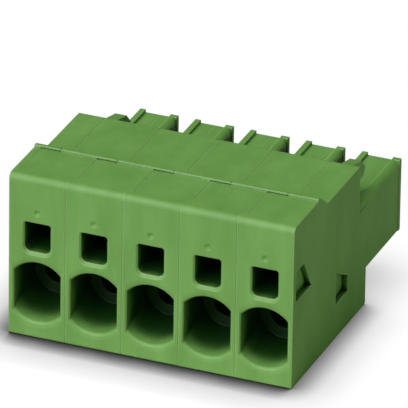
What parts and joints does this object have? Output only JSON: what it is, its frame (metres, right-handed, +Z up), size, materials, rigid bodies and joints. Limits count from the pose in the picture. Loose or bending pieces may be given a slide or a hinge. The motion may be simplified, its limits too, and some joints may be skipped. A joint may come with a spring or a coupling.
{
  "type": "pluggable terminal block",
  "caption": "Green pluggable terminal block in a row of moulded disc modules, with round conductor funnels, square release shafts and plug fingers at the back.",
  "frame": {"origin": "middle of the block's footprint box, on the surface that it stands on", "axes": "+X along the row of poles to the right as seen from the conductor side, +Y from the conductor side back to the plug side, +Z up"},
  "size_m": [0.0382, 0.0372, 0.0226],
  "materials": {
    "housing": "fine satin moulded",
    "contact_metal": "matt tin plate",
    "spring_steel": "rolled",
    "clip_steel": "rolled"
  },
  "bodies": {
    "root": {"left_cover": "housing", "housing_1": "housing", "housing_2": "housing", "housing_3": "housing", "housing_4": "housing", "housing_5": "housing", "contact_1": "contact_metal", "contact_2": "contact_metal", "contact_3": "contact_metal", "contact_4": "contact_metal", "contact_5": "contact_metal", "clamp_spring_1": "spring_steel", "clamp_spring_2": "spring_steel", "clamp_spring_3": "spring_steel", "clamp_spring_4": "spring_steel", "clamp_spring_5": "spring_steel", "socket_clip_1": "clip_steel", "socket_clip_2": "clip_steel", "socket_clip_3": "clip_steel", "socket_clip_4": "clip_steel", "socket_clip_5": "clip_steel"}
  },
  "joints": []
}
